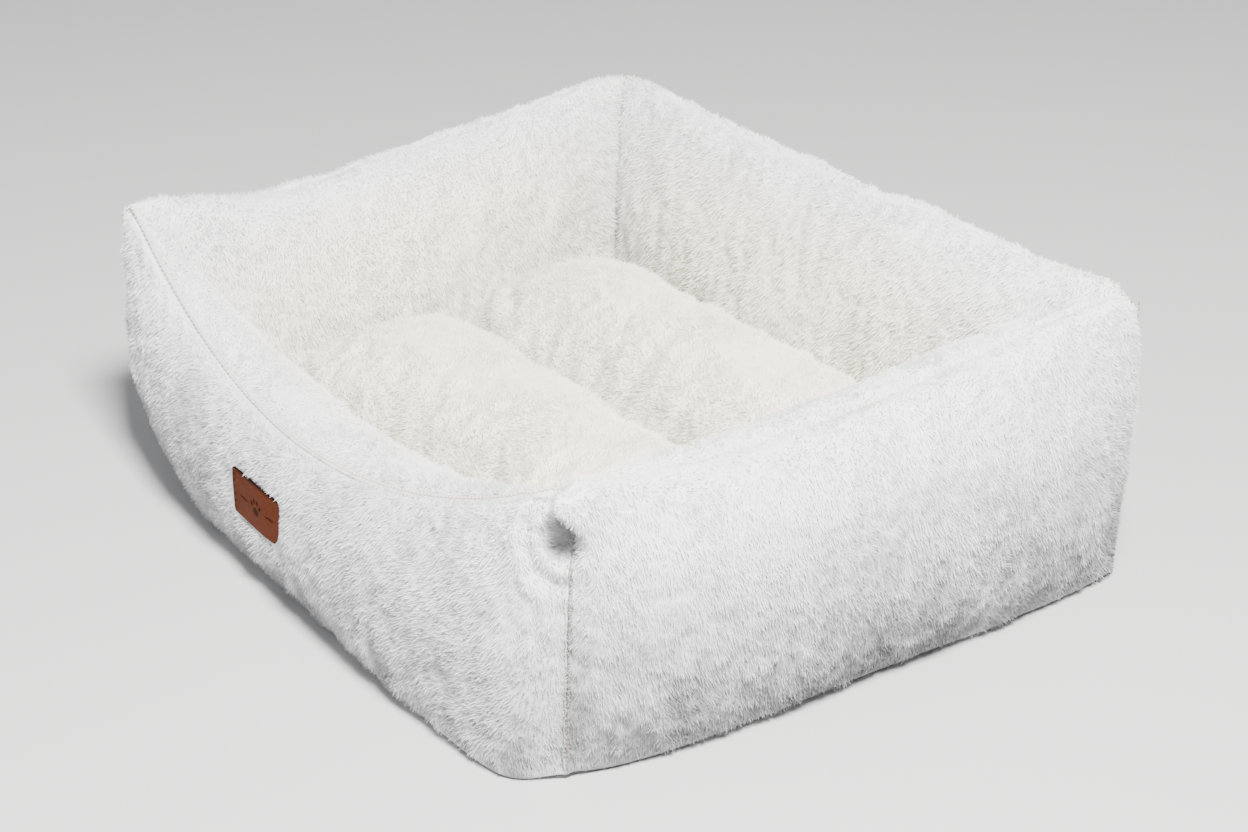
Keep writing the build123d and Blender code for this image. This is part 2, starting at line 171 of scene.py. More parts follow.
class Wall:
    """One stuffed side. s runs from -1 to 1 along it, n outwards from its corner seam line."""

    def __init__(self, name, outward, half, offset, ends, low, low_at, rise, bow, lift, puff, swells=(),
                 lean=0.0, roll=0.74, round_out=0.34, tuck=0.014, belly=0.026):
        self.name, self.half, self.offset, self.bow = name, half, offset, bow
        self.outward = np.array(outward, float)
        self.along = np.cross(self.outward, (0, 0, 1))
        self.ends = [CORNER_HEIGHT[end] for end in ends]
        self.drops = [EAR_DROP[end] for end in ends]
        self.low, self.low_at, self.rise = low, low_at, rise  # the crown's lowest height, its place, its power
        self.lift, self.puff = lift, puff  # how far the outer and the inner panel stand above the crown seam
        self.swells = swells  # (s, reach in s, height) of soft bumps along the crown
        self.lean = lean  # how far the crown seam bows out; bow is the same for the foot
        self.tuck, self.belly = tuck, belly  # how far the foot is drawn in and the outer panel swells
        self.roll, self.round_out = roll, round_out  # how far the inner and the outer panel roll over the crown

    def place(self, s, n, z):
        s, n, z = np.broadcast_arrays(s, n, z)
        point = s[..., None] * self.half * self.along + (self.offset + n)[..., None] * self.outward
        point[..., 2] = z
        return point

    def crown(self, s):
        """Height of the crown seam: it dips at low_at and rounds off at both ends."""
        end = np.where(s < self.low_at, self.ends[0], self.ends[1])
        drop = np.where(s < self.low_at, self.drops[0], self.drops[1])
        reach = np.where(s < self.low_at, 1 + self.low_at, 1 - self.low_at)
        rising = self.low + (end - self.low) * (np.abs(s - self.low_at) / reach) ** self.rise
        for at, width, height in self.swells:
            rising = rising + height * bell(s - at, width)
        left = np.clip(1 - self.half * (1 - np.abs(s)) / EAR_REACH, 0, 1)
        return rising - drop * left**2

    def seam_n(self, s):
        return -SEAM_DEPTH / 2 + self.lean * (1 - s * s)

    def along_share(self, points):
        return np.clip(points @ self.along / self.half, -1, 1)

    def full(self, s):
        return np.clip(1 - s * s, 0, 1) ** FULLNESS

    def depth(self, s):
        return SEAM_DEPTH + (WALL_DEPTH - SEAM_DEPTH) * self.full(s)

    def grid(self):
        """Points of the closed form: rings across the wall, each up the outside and down the inside."""
        reach = 1 - END_GAP / self.half
        s = np.linspace(-reach, reach, int(2 * self.half / CELL) + 1)[:, None]
        height, full, depth = self.crown(s), self.full(s), self.depth(s)
        bow = self.bow * (1 - s**4)
        crown_n = self.seam_n(s)
        outer = [
            (bow - self.tuck * full, FOOT_LEVEL),
            (bow + self.belly * full, 0.40 * height),
            (crown_n + self.round_out * depth, height + self.lift * full),
            (crown_n, height),
        ]
        inner = [
            (crown_n, height),
            (crown_n - self.roll * (depth - SEAM_DEPTH), height + self.puff * full),
            (-depth - 0.018 * full, 0.58 * height),
            (-depth, FOOT_LEVEL),
        ]
        u = np.linspace(0, 1, ROWS + 1)[None, :]
        up_side = [bezier(outer, u, k) for k in (0, 1)]
        down_side = [bezier(inner, u[:, 1:], k) for k in (0, 1)]
        under = np.linspace(0, 1, UNDER_ROWS)[None, 1:-1]
        floor_n = down_side[0][:, -1:] * (1 - under) + up_side[0][:, :1] * under
        n = np.concatenate([up_side[0], down_side[0], floor_n], axis=1)
        z = np.concatenate([up_side[1], down_side[1], np.full_like(floor_n, FOOT_LEVEL)], axis=1)
        from_corner = self.half * (1 - np.abs(s))
        mitre = n < -from_corner
        n = np.maximum(n, -from_corner)
        return s, n, z, mitre


def settle_corners(points):
    """Tucks the bottom corners under, rounds the upright edges, and gathers the front right ear."""
    for name, tuck in FOOT_TUCK.items():
        side = corner_side(name)
        far = np.linalg.norm(points[:, :2] - side * (HALF_X, HALF_Y), axis=1)
        low = fade(points[:, 2], 0.085) ** 1.7
        pull = tuck * bell(far, 0.085) * low + 0.0012 * bell(far, 0.009)
        points[:, :2] -= side / math.sqrt(2) * pull[:, None]
        out_x, out_y, reach = STAND_OUT[name]
        points[:, :2] += np.array([out_x, out_y]) * bell(far, reach)[:, None]
        points[:, 2] += 0.30 * tuck * bell(far, 0.045) * low
    # The front's foot spreads towards its right corner, and ends in a small ear beside the corner seam.
    spread = np.clip((points[:, 0] + 0.10) / (HALF_X + 0.10), 0, 1.0) ** 1.2
    spread *= fade(points[:, 2], 0.125) ** 1.1 * np.clip(-points[:, 1] / HALF_Y - 0.55, 0, 0.40) / 0.40
    beside = 1 - bell(np.maximum(HALF_X + 0.004 - points[:, 0], 0), 0.014)
    points[:, 1] -= 0.026 * spread * beside
    near_seam = bell(np.linalg.norm(points[:, :2] - (HALF_X, -HALF_Y + 0.007), axis=1), 0.016)
    points[:, 2] += 0.003 * near_seam * fade(points[:, 2], 0.05)
    arm = points - GATHER
    inward = np.array([-1.0, 1.0, 0.0]) / math.sqrt(2)
    deep = np.maximum(arm @ inward, 0)
    beside = spread_from(arm, np.outer(arm @ inward, inward), GATHER_SHAPE)
    pull = 0.024 * bell(beside, 0.0125) * bell(deep, 0.060)
    points += inward * pull[:, None]
    # Folds ring the gather, deepest on the front.
    far = spread_from(arm, 0, GATHER_SHAPE)
    front = np.clip(0.5 - arm[:, 0] / 0.03, 0.3, 1) * np.clip(0.9 - arm[:, 2] / 0.05, 0.15, 1)
    fold = 0.0085 * np.cos((far - 0.017) / 0.016 * 2 * math.pi) * bell(far - 0.021, 0.015) * front
    points += np.array([0.7, -0.7, 0.0]) * fold[:, None]
    return points


def overlap_ends(points, wall_name):
    """At the gather, the right wall's end swells over the front wall's end, which sinks under it."""
    far = spread_from(points, (HALF_X - 0.010, -HALF_Y + 0.016, 0.182), (1.0, 1.0, 1.2))
    if wall_name == "right":
        points += np.array([0.35, -0.95, 0.1]) * (0.016 * bell(far, 0.022))[:, None]
    elif wall_name == "front":
        points += np.array([-0.2, 0.9, -0.45]) * (0.011 * bell(far, 0.020))[:, None]
    return points


def gathered(points):
    """1 in the depth of the front right ear's gather, 0 away from it."""
    return bell(spread_from(points, GATHER, GATHER_SHAPE), 0.010)


def bezier(points, u, k):
    a, b, c, d = (np.asarray(p[k]) for p in points)
    return a * (1 - u) ** 3 + 3 * b * u * (1 - u) ** 2 + 3 * c * u * u * (1 - u) + d * u**3


WALLS = [
    Wall("front", (0, -1, 0), HALF_X, HALF_Y, ("front_right", "front_left"), 0.110, 0.05, 2.0, 0.024, 0.005, 0.034,
         lean=0.010, roll=0.86),
    Wall("rear", (0, 1, 0), HALF_X, HALF_Y, ("rear_left", "rear_right"), 0.199, 0.0, 1.8, 0.024, 0.012, 0.020,
         ((0.35, 0.22, 0.006), (-0.2, 0.2, 0.003)), round_out=0.45),
    Wall("left", (-1, 0, 0), HALF_Y, HALF_X, ("front_left", "rear_left"), 0.179, -0.5, 1.2, 0.024, 0.012, 0.022,
         round_out=0.45),
    Wall("right", (1, 0, 0), HALF_Y, HALF_X, ("rear_right", "front_right"), 0.178, 0.35, 1.8, 0.032, 0.022, 0.020,
         round_out=0.66, tuck=0.020, belly=0.030),
]


# ---- Meshes ----
def new_object(name, points, faces):
    mesh = bpy.data.meshes.new(name)
    mesh.from_pydata([tuple(p) for p in points], [], [tuple(int(i) for i in f) for f in faces])
    mesh.update()
    thing = bpy.data.objects.new(name, mesh)
    bpy.context.scene.collection.objects.link(thing)
    return thing


def grid_quads(index):
    return np.stack([index[:-1, :-1], index[1:, :-1], index[1:, 1:], index[:-1, 1:]], axis=-1).reshape(-1, 4)


def slab(front, back):
    """Points and faces of a closed slab between two grids of points."""
    index = np.arange(front[..., 0].size).reshape(front.shape[:2])
    quads = grid_quads(index)
    faces = list(quads) + [q[::-1] + index.size for q in quads]
    rim = list(index[:-1, 0]) + list(index[-1, :-1]) + list(index[:0:-1, -1]) + list(index[0, :0:-1])
    faces += [(j, i, i + index.size, j + index.size) for i, j in zip(rim, rim[1:] + rim[:1])]
    return np.concatenate([front.reshape(-1, 3), back.reshape(-1, 3)]), faces


def zip_up(loop, heights, flip):
    """Triangles that close a wall's end, joining its outer side to its inner side at equal heights."""
    out, back, last = ROWS - 1, ROWS + 1, len(loop) - 1
    faces = [(out, ROWS, back)]
    while out > 0 or back < last:
        if back == last or (out > 0 and heights[out - 1] >= heights[back + 1]):
            faces.append((out - 1, out, back))
            out -= 1
        else:
            faces.append((out, back, back + 1))
            back += 1
    return [tuple(loop[k] for k in (face[::-1] if flip else face)) for face in faces]


def read_points(thing):
    """The object's points with its modifiers applied."""
    evaluated = thing.evaluated_get(bpy.context.evaluated_depsgraph_get())
    points = np.empty(len(evaluated.data.vertices) * 3)
    evaluated.data.vertices.foreach_get("co", points)
    return points.reshape(-1, 3)


def write_points(thing, points):
    thing.data.vertices.foreach_set("co", np.ascontiguousarray(points, float).ravel())
    thing.data.update()


def bake(thing):
    """Applies every modifier and keeps the result as a plain mesh."""
    evaluated = thing.evaluated_get(bpy.context.evaluated_depsgraph_get())
    mesh = bpy.data.meshes.new_from_object(evaluated)
    thing.modifiers.clear()
    old = thing.data
    thing.data = mesh
    mesh.name = thing.name
    bpy.data.meshes.remove(old)
    return thing


def smooth(thing):
    thing.data.polygons.foreach_set("use_smooth", [True] * len(thing.data.polygons))


def set_attributes(thing, **named):
    for name, values in named.items():
        attribute = thing.data.attributes.new(name, "FLOAT", "POINT")
        attribute.data.foreach_set("value", np.ascontiguousarray(values, np.float32).ravel())


def blow_up(thing, sewn, limit, keep):
    """Lets cloth pressure pucker the form, with the sewn points held.

    The broad swelling is kept only in part, so that the form stays true to its pattern, and
    no point moves further than limit.
    """
    rest = read_points(thing)
    held = thing.vertex_groups.new(name="sewn")
    held.add([int(i) for i in np.flatnonzero(sewn)], 1.0, "REPLACE")
    cloth = thing.modifiers.new("cloth", "CLOTH")
    for name, value in {
        "quality": 5, "mass": 0.35, "tension_stiffness": 22, "compression_stiffness": 22, "shear_stiffness": 10,
        "bending_stiffness": 1.2, "shrink_min": -sizes().slack, "use_pressure": True,
        "uniform_pressure_force": sizes().pressure, "vertex_group_mass": "sewn", "pin_stiffness": 1,
    }.items():
        setattr(cloth.settings, name, value)
    cloth.settings.effector_weights.gravity = 0
    cloth.collision_settings.use_collision = False
    cloth.point_cache.frame_start, cloth.point_cache.frame_end = 1, CLOTH_STEPS
    scene = bpy.context.scene
    for moment in range(1, CLOTH_STEPS + 1):
        scene.frame_set(moment)
    moved = read_points(thing) - rest
    thing.modifiers.remove(cloth)
    scene.frame_set(1)
    edges = np.empty(len(thing.data.edges) * 2, np.int64)
    thing.data.edges.foreach_get("vertices", edges)
    first, second = edges.reshape(-1, 2).T
    count = np.bincount(edges, minlength=len(rest)).astype(float)[:, None]
    broad = moved.copy()
    for _ in range(BROADENING_ROUNDS):
        total = np.zeros_like(broad)
        np.add.at(total, first, broad[second])
        np.add.at(total, second, broad[first])
        broad = 0.3 * broad + 0.7 * total / count
    moved = keep * broad + (moved - broad)
    size = np.linalg.norm(moved, axis=1, keepdims=True)
    moved *= np.minimum(1, limit / np.maximum(size, 1e-9))
    moved[sewn] = 0
    return rest + moved


# ---- Nodes ----
class Value:
    """A node's socket that can stand in a Python expression."""

    def __init__(self, owner, socket):
        self.owner, self.socket = owner, socket

    def __add__(self, other):
        return self.owner.math("ADD", self, other)

    def __sub__(self, other):
        return self.owner.math("SUBTRACT", self, other)

    def __rsub__(self, other):
        return self.owner.math("SUBTRACT", other, self)

    def __mul__(self, other):
        return self.owner.math("MULTIPLY", self, other)

    def __rmul__(self, other):
        return self.owner.math("MULTIPLY", other, self)

    def __radd__(self, other):
        return self.owner.math("ADD", other, self)

    def at_least(self, other):
        return self.owner.math("MAXIMUM", self, other)

    def at_most(self, other):
        return self.owner.math("MINIMUM", self, other)


class Nodes:
    """Adds nodes to self.tree."""

    def node(self, kind, settings=None, **values):
        """Adds a node. Its inputs are given by name, or by number as i0, i1."""
        node = self.tree.nodes.new(kind)
        for key, value in (settings or {}).items():
            setattr(node, key, value)
        for key, value in values.items():
            numbered = key[0] == "i" and key[1:].isdigit()
            self.put(value, node.inputs[int(key[1:]) if numbered else key.replace("_", " ")])
        return node

    def put(self, value, socket):
        """Links the value to the socket, or sets it there."""
        if isinstance(value, Value):
            value = value.socket
        if isinstance(value, bpy.types.NodeSocket):
            self.tree.links.new(value, socket)
        elif socket.type == "RGBA" and len(value) == 3:
            socket.default_value = (*value, 1.0)
        else:
            socket.default_value = value

    def value(self, kind, settings=None, output=0, **values):
        return Value(self, self.node(kind, settings, **values).outputs[output])

    def math(self, operation, first, second=0.0):
        return self.value("ShaderNodeMath", {"operation": operation}, i0=first, i1=second)


class Tree(Nodes):
    """One Geometry Nodes tree with named inputs."""

    def __init__(self, name, **inputs):
        self.tree = bpy.data.node_groups.new(name, "GeometryNodeTree")
        face = self.tree.interface
        face.new_socket("Geometry", in_out="OUTPUT", socket_type="NodeSocketGeometry")
        face.new_socket("Geometry", in_out="INPUT", socket_type="NodeSocketGeometry")
        self.keys = {}
        for label, kind in {**inputs, "Material": "Material"}.items():
            socket = face.new_socket(label.replace("_", " "), in_out="INPUT", socket_type="NodeSocket" + kind)
            self.keys[label] = socket.identifier
        self.source = self.tree.nodes.new("NodeGroupInput")
        self.end = self.tree.nodes.new("NodeGroupOutput")
        self.place = self.value("GeometryNodeInputPosition")

    def vector(self, operation, first, **values):
        return self.value("ShaderNodeVectorMath", {"operation": operation}, i0=first, **values)

    def given(self, label):
        return Value(self, self.source.outputs[label])

    def attribute(self, name):
        return self.value("GeometryNodeInputNamedAttribute", {"data_type": "FLOAT"}, Name=name)

    def store(self, geometry, name, value):
        kind = {"data_type": "FLOAT", "domain": "POINT"}
        return self.value("GeometryNodeStoreNamedAttribute", kind, Geometry=geometry, Name=name, Value=value)

    def instances(self, points, shape, **values):
        return self.value("GeometryNodeInstanceOnPoints", None, Points=points, Instance=shape, **values)

    def facing(self, direction):
        return self.value("FunctionNodeAlignRotationToVector", {"axis": "Z"}, Vector=direction)

    def finish(self, geometry):
        whole = self.value("GeometryNodeRealizeInstances", Geometry=geometry)
        done = self.node("GeometryNodeSetMaterial", Geometry=whole, Material=self.given("Material"))
        self.tree.links.new(done.outputs[0], self.end.inputs[0])
        return self

    def run(self, thing, **inputs):
        """Runs the tree on the object, whose mesh becomes the result."""
        modifier = thing.modifiers.new("nodes", "NODES")
        modifier.node_group = self.tree
        for label, value in inputs.items():
            modifier[self.keys[label]] = value
        return bake(thing)


@functools.cache
def clump_tree():
    """Raises the skin into clumps of pile, and parts it over the seams."""
    t = Tree("pile clumps", Clump_Size="Float", Clump_Depth="Float", Groove="Float")
    fineness = t.math("DIVIDE", 1.0, t.given("Clump Size"))

    def noise(stretch, scale, detail, distortion=0.0):
        spot = t.vector("MULTIPLY", t.place, i1=stretch)
        return t.value(
            "ShaderNodeTexNoise", Vector=spot, Scale=scale, Detail=detail, Roughness=0.6, Distortion=distortion
        ) - 0.5

    clump = noise((1.0, 1.0, 1.3), fineness, 3.0, 0.6)
    combed = noise((1.0, 1.0, 0.22), fineness * 0.6, 2.0, 0.8) * (t.attribute("inside") * 0.5 + 0.6)
    swell = noise((1.0, 1.0, 1.0), 24.0, 1.0)
    parting = t.attribute("parting")
    relief = clump + combed
    height = (relief * 2.0 + swell * 1.6) * t.given("Clump Depth")
    height = (height * (1.0 - parting) - parting * t.given("Groove")) * (1.0 - t.attribute("bald"))
    offset = t.vector("SCALE", t.value("GeometryNodeInputNormal"), Scale=height)
    raised = t.value("GeometryNodeSetPosition", Geometry=t.given("Geometry"), Offset=offset)
    # The relief is kept for the pile's colour, which it darkens in the clumps' hollows as painted shade.
    return t.finish(t.store(raised, "relief", relief * 2.2 + 0.5))


@functools.cache
def pile_tree():
    """Grows combed locks of pile on a skin: each is a closed spike on a three-sided root."""
    t = Tree("pile locks", Density="Float", Length="Float", Width="Float", Seed="Int", Fall="Float")
    cone = t.value(
        "GeometryNodeMeshCone", {"fill_type": "NGON"}, Vertices=3, Side_Segments=1, Fill_Segments=1,
        Radius_Top=0.0, Radius_Bottom=t.given("Width"), Depth=t.given("Length"),
    )
    height = t.value("ShaderNodeSeparateXYZ", output=2, Vector=t.place)
    spike = t.store(cone, "tip", t.math("DIVIDE", height, t.given("Length")))
    points = t.node(
        "GeometryNodeDistributePointsOnFaces", {"distribute_method": "RANDOM"}, Mesh=t.given("Geometry"),
        Density=t.given("Density") * (1.0 - t.attribute("bald")), Seed=t.given("Seed"),
    )
    # Locks lean along a slow swirl, down the fall of the cloth, and each a little its own way.
    flow = t.value("ShaderNodeTexNoise", output=1, Vector=t.place, Scale=15.0, Detail=1.5, Roughness=0.5)
    swirl = t.vector("SCALE", t.vector("SUBTRACT", flow, i1=(0.5, 0.5, 0.5)), Scale=2.8)
    lay = t.vector("ADD", swirl, i1=t.value("ShaderNodeCombineXYZ", Z=t.given("Fall") * -1.0))
    stray = t.value(
        "FunctionNodeRandomValue", {"data_type": "FLOAT_VECTOR"}, Min=(-0.25,) * 3, Max=(0.25,) * 3, Seed=7
    )
    lean = t.vector("ADD", t.vector("ADD", points.outputs[1], i1=lay), i1=stray)
    chance = t.node("FunctionNodeRandomValue", {"data_type": "FLOAT"}, Seed=3)
    floats = [socket for socket in chance.inputs if socket.type == "VALUE" and socket.enabled]
    floats[0].default_value, floats[1].default_value = 0.6, 1.15
    size = Value(t, next(socket for socket in chance.outputs if socket.enabled))
    near_floor = ((height - 0.0005) * 140.0).at_most(1.0).at_least(0.2)
    size = size * (1.0 - t.attribute("parting") * 0.75) * near_floor
    return t.finish(t.instances(points.outputs[0], spike, Rotation=t.facing(lean), Scale=size))


@functools.cache
def stitch_tree():
    """Lays stitches along a line, one after another."""
    t = Tree("stitches", Pitch="Float", Stitch="Float", Radius="Float")
    line = t.value("GeometryNodeMeshToCurve", Mesh=t.given("Geometry"))
    points = t.node("GeometryNodeCurveToPoints", {"mode": "LENGTH"}, Curve=line, Length=t.given("Pitch"))
    ball = t.value("GeometryNodeMeshUVSphere", Segments=6, Rings=5, Radius=1.0)
    radius = t.given("Radius")
    shape = t.value("ShaderNodeCombineXYZ", X=radius, Y=radius, Z=t.given("Stitch") * 0.5)
    thread = t.value("GeometryNodeTransform", Geometry=ball, Scale=shape)
    return t.finish(t.instances(points.outputs[0], thread, Rotation=t.facing(points.outputs[1])))


@functools.cache
def dot_tree():
    """Sets a flat-topped rubber dot on every point."""
    t = Tree("grip dots", Radius="Float", Height="Float")
    points = t.value("GeometryNodeMeshToPoints", Mesh=t.given("Geometry"))
    cone = t.value(
        "GeometryNodeMeshCone", {"fill_type": "NGON"}, Vertices=10, Side_Segments=1,
        Radius_Top=t.given("Radius"), Radius_Bottom=t.given("Radius") * 0.7, Depth=t.given("Height"),
    )
    return t.finish(t.instances(points, cone))


# ---- Materials ----
class Shader(Nodes):
    """A material with one Principled shader and a few ways to feed it."""

    def __init__(self, name, **constants):
        self.material = bpy.data.materials.new(name)
        self.material.use_nodes = True
        self.tree = self.material.node_tree
        self.tree.nodes.clear()
        self.surface = self.node("ShaderNodeBsdfPrincipled")
        self.node("ShaderNodeOutputMaterial", Surface=self.surface.outputs[0])
        for label, value in constants.items():
            self.surface.inputs[label.replace("_", " ")].default_value = value
        self.place = self.node("ShaderNodeTexCoord").outputs["Object"]

    def noise(self, scale, detail=2.0, roughness=0.5, place=None):
        where = place or self.place
        return self.value("ShaderNodeTexNoise", Vector=where, Scale=scale, Detail=detail, Roughness=roughness)

    def attribute(self, name):
        return self.value("ShaderNodeAttribute", {"attribute_name": name}, output="Fac")

    def mix(self, amount, first, second):
        return self.value("ShaderNodeMix", {"data_type": "RGBA"}, output=2, i0=amount, i6=first, i7=second)

    def finish(self, colour, rough, height, strength, distance):
        """Feeds the shader its colour, its roughness and its bump, and gives the material."""
        self.put(colour, self.surface.inputs["Base Color"])
        self.put(rough, self.surface.inputs["Roughness"])
        bump = self.value("ShaderNodeBump", Height=height, Strength=strength, Distance=distance)
        self.put(bump, self.surface.inputs["Normal"])
        return self.material


def shade(rgb, factor):
    return tuple(min(1.0, c * factor) for c in rgb)


def plush_material(name, c):
    """Short off-white pile, with painted shade: roots darker than tips and darker in the clumps' hollows; warmer
    inside the bed than outside as painted warm bounce light.
    """
    m = Shader(name, Sheen_Weight=0.2, Sheen_Roughness=0.5, Specular_IOR_Level=0.08)
    tip, inside, relief, shadow, matted = (
        m.attribute(name) for name in ("tip", "inside", "relief", "shadow", "matted")
    )
    # Inside the bed the pile takes the cushion's colours, whose warm tint is painted bounce light.
    tips = m.mix(inside, c.wall, c.cushion)
    roots = m.mix(inside, c.wall_root_shade, c.cushion_root_warm_shade)
    drift = m.noise(11.0, 3.0)
    hair = m.noise(900.0, 2.0, 0.6)
    # Painted shade: the colour falls from the tips down to the roots and into the clumps' hollows, and is darkest
    # in the gather's painted shadow.
    up = (tip * 0.4 + relief * 0.6 + drift * 0.4 - 0.05 - shadow * 0.9).at_least(0.0).at_most(1.0)
    body = m.mix(up, roots, tips)
    dark = m.mix(shadow.at_most(1.0), body, shade(c.wall_root_shade, 0.45))
    body = m.mix(0.75 * shadow.at_most(1.0), body, dark)
    # Painted shade: near the floor the outer walls darken in mottled patches, most in the clumps' hollows.
    floor_shade_patches = matted * (m.noise(28.0, 3.0, 0.6) * 1.6 + (1.0 - relief) * 0.5 - 0.15)
    body = m.mix(floor_shade_patches.at_least(0.0).at_most(0.85), body, c.wall_painted_shade)
    return m.finish(body, 0.8 + hair * 0.18, hair, 0.5, 0.6 * MM)


def thread_material(name, rgb):
    m = Shader(name, Specular_IOR_Level=0.3)
    along = m.value("ShaderNodeMapping", Vector=m.place, Scale=(1.0, 1.0, 0.35))
    twist = m.noise(1400.0, 2.0, 0.6, along)
    return m.finish(m.mix(twist, shade(rgb, 0.72), rgb), 0.55 + twist * 0.3, twist, 0.5, 0.15 * MM)


def woven_material(name, rgb, pitch):
    """A plain weave of the given pitch in the X-Y plane."""
    m = Shader(name)
    place = m.node("ShaderNodeSeparateXYZ", Vector=m.place)
    wave_x, wave_y = (m.math("SINE", Value(m, place.outputs[k]) * (2 * math.pi / pitch)) for k in (0, 1))
    weave = wave_x * wave_y * 0.5 + 0.5
    slub = m.noise(120.0, 3.0, 0.6)
    colour = m.mix((weave * 0.6 + slub * 0.5).at_most(1.0), shade(rgb, 0.7), rgb)
    return m.finish(colour, 0.75 + slub * 0.2, weave + slub * 0.4, 0.6, 0.3 * MM)


def leather_material(name, c):
    m = Shader(name, Specular_IOR_Level=0.10)
    grain = m.value("ShaderNodeTexVoronoi", {"feature": "DISTANCE_TO_EDGE"}, Vector=m.place, Scale=900.0)
    crease = m.noise(240.0, 4.0, 0.65)
    cloud = m.noise(55.0, 3.0)
    # Burnt edges and the pressed figure darken the leather, and a band along the top edge darkens as painted
    # shadow.
    burnt_pressed_and_shaded = m.attribute("pressed")
    base = m.mix((cloud * 0.9 + crease * 0.3 - 0.1).at_most(1.0), shade(c.leather, 0.62), shade(c.leather, 1.25))
    rough = 0.55 + crease * 0.25 + burnt_pressed_and_shaded * 0.1
    return m.finish(m.mix(burnt_pressed_and_shaded, base, c.leather_dark), rough, grain * 6.0 + crease * 0.5, 0.35, 0.25 * MM)


def plain_material(name, rgb, roughness, metallic=0.0):
    m = Shader(name, Metallic=metallic)
    speck = m.noise(600.0, 3.0, 0.6)
    return m.finish(m.mix(speck, shade(rgb, 0.82), rgb), roughness + speck * 0.15, speck, 0.2, 0.1 * MM)


def sizes():
    return bpy.context.scene.pet_bed_sizes


def colours():
    return bpy.context.scene.pet_bed_colours


@functools.cache
def material(finish):
    """Each finish, made once."""
    c = colours()
    make, *given = {
        "wall pile": (plush_material, "wall pile", c),
        "cushion pile": (plush_material, "cushion pile", c),
        "thread": (thread_material, "seam thread", c.thread),
        "corner thread": (thread_material, "corner thread", c.corner_thread),
        "tag thread": (thread_material, "tag thread", c.leather_dark),
        "leather": (leather_material, "tag leather", c),
        "grip": (plain_material, "grip rubber", c.grip, 0.7),
        "coil": (plain_material, "zip coil nylon", c.zip_coil, 0.35),
        "metal": (plain_material, "zip metal", c.metal, 0.28, 1.0),
        "lining": (woven_material, "lining", c.lining, 1.6 * MM),
        "underside": (woven_material, "underside", c.underside, 1.1 * MM),
        "zip tape": (woven_material, "zip tape", c.zip_tape, 0.9 * MM),
    }[finish]
    return make(*given)


def wear(thing, name):
    thing.data.materials.clear()
    thing.data.materials.append(material(name))


# ---- Plush over a form ----
def clothe(form, name, body, finish, nodes, fall, zones):
    """Turns a blown-up form into a skin with clumps, and grows its pile as one piece for each zone."""
    s = sizes()
    skin = form
    skin.name = name + "_skin"
    level = skin.modifiers.new("finer", "SUBSURF")
    level.levels = level.render_levels = 1
    bake(skin)
    smooth(skin)
    clump_tree().run(
        skin, Clump_Size=s.clump_size, Clump_Depth=s.clump_depth, Groove=s.groove_depth, Material=material(finish)
    )
    smooth(skin)
    for seed, (suffix, within) in enumerate(zones, start=11):
        pile = bpy.data.objects.new(name + suffix + "_pile", skin.data.copy())
        bpy.context.scene.collection.objects.link(pile)
        points = read_points(pile)
        bald = np.empty(len(points), np.float32)
        pile.data.attributes["bald"].data.foreach_get("value", bald)
        bald[~within(points)] = 1.0
        pile.data.attributes["bald"].data.foreach_set("value", bald)
        pile_tree().run(
            pile,
            Density=s.pile_density * 1.0,
            Length=s.pile_length,
            Width=s.pile_width * 1.0 * 0.5,
            Seed=seed,
            Fall=fall,
            Material=material(finish),
        )
        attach(pile, body)
    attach(skin, body)
    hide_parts(*nodes)


def near_line(points, line, width):
    """1 on the line, falling to 0 at about twice the width from it."""
    nearest = np.full(len(points), np.inf)
    for a, b in zip(line[:-1], line[1:]):
        edge = b - a
        t = np.clip(((points - a) @ edge) / (edge @ edge), 0, 1)
        nearest = np.minimum(nearest, np.linalg.norm(points - a - t[:, None] * edge, axis=1))
    return bell(nearest, width)


def stitch_line(name, line, body, finish, stitch=0.75, pitch=None, radius=None):
    s = sizes()
    thread = new_object(name, line, [])
    thread.data.edges.add(len(line) - 1)
    thread.data.edges.foreach_set("vertices", [k for i in range(len(line) - 1) for k in (i, i + 1)])
    thread.data.update()
    pitch = pitch or s.stitch_pitch
    stitch_tree().run(
        thread, Pitch=pitch, Stitch=pitch * stitch, Radius=radius or s.thread_radius, Material=material(finish)
    )
    smooth(thread)
    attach(thread, body)
    return thread


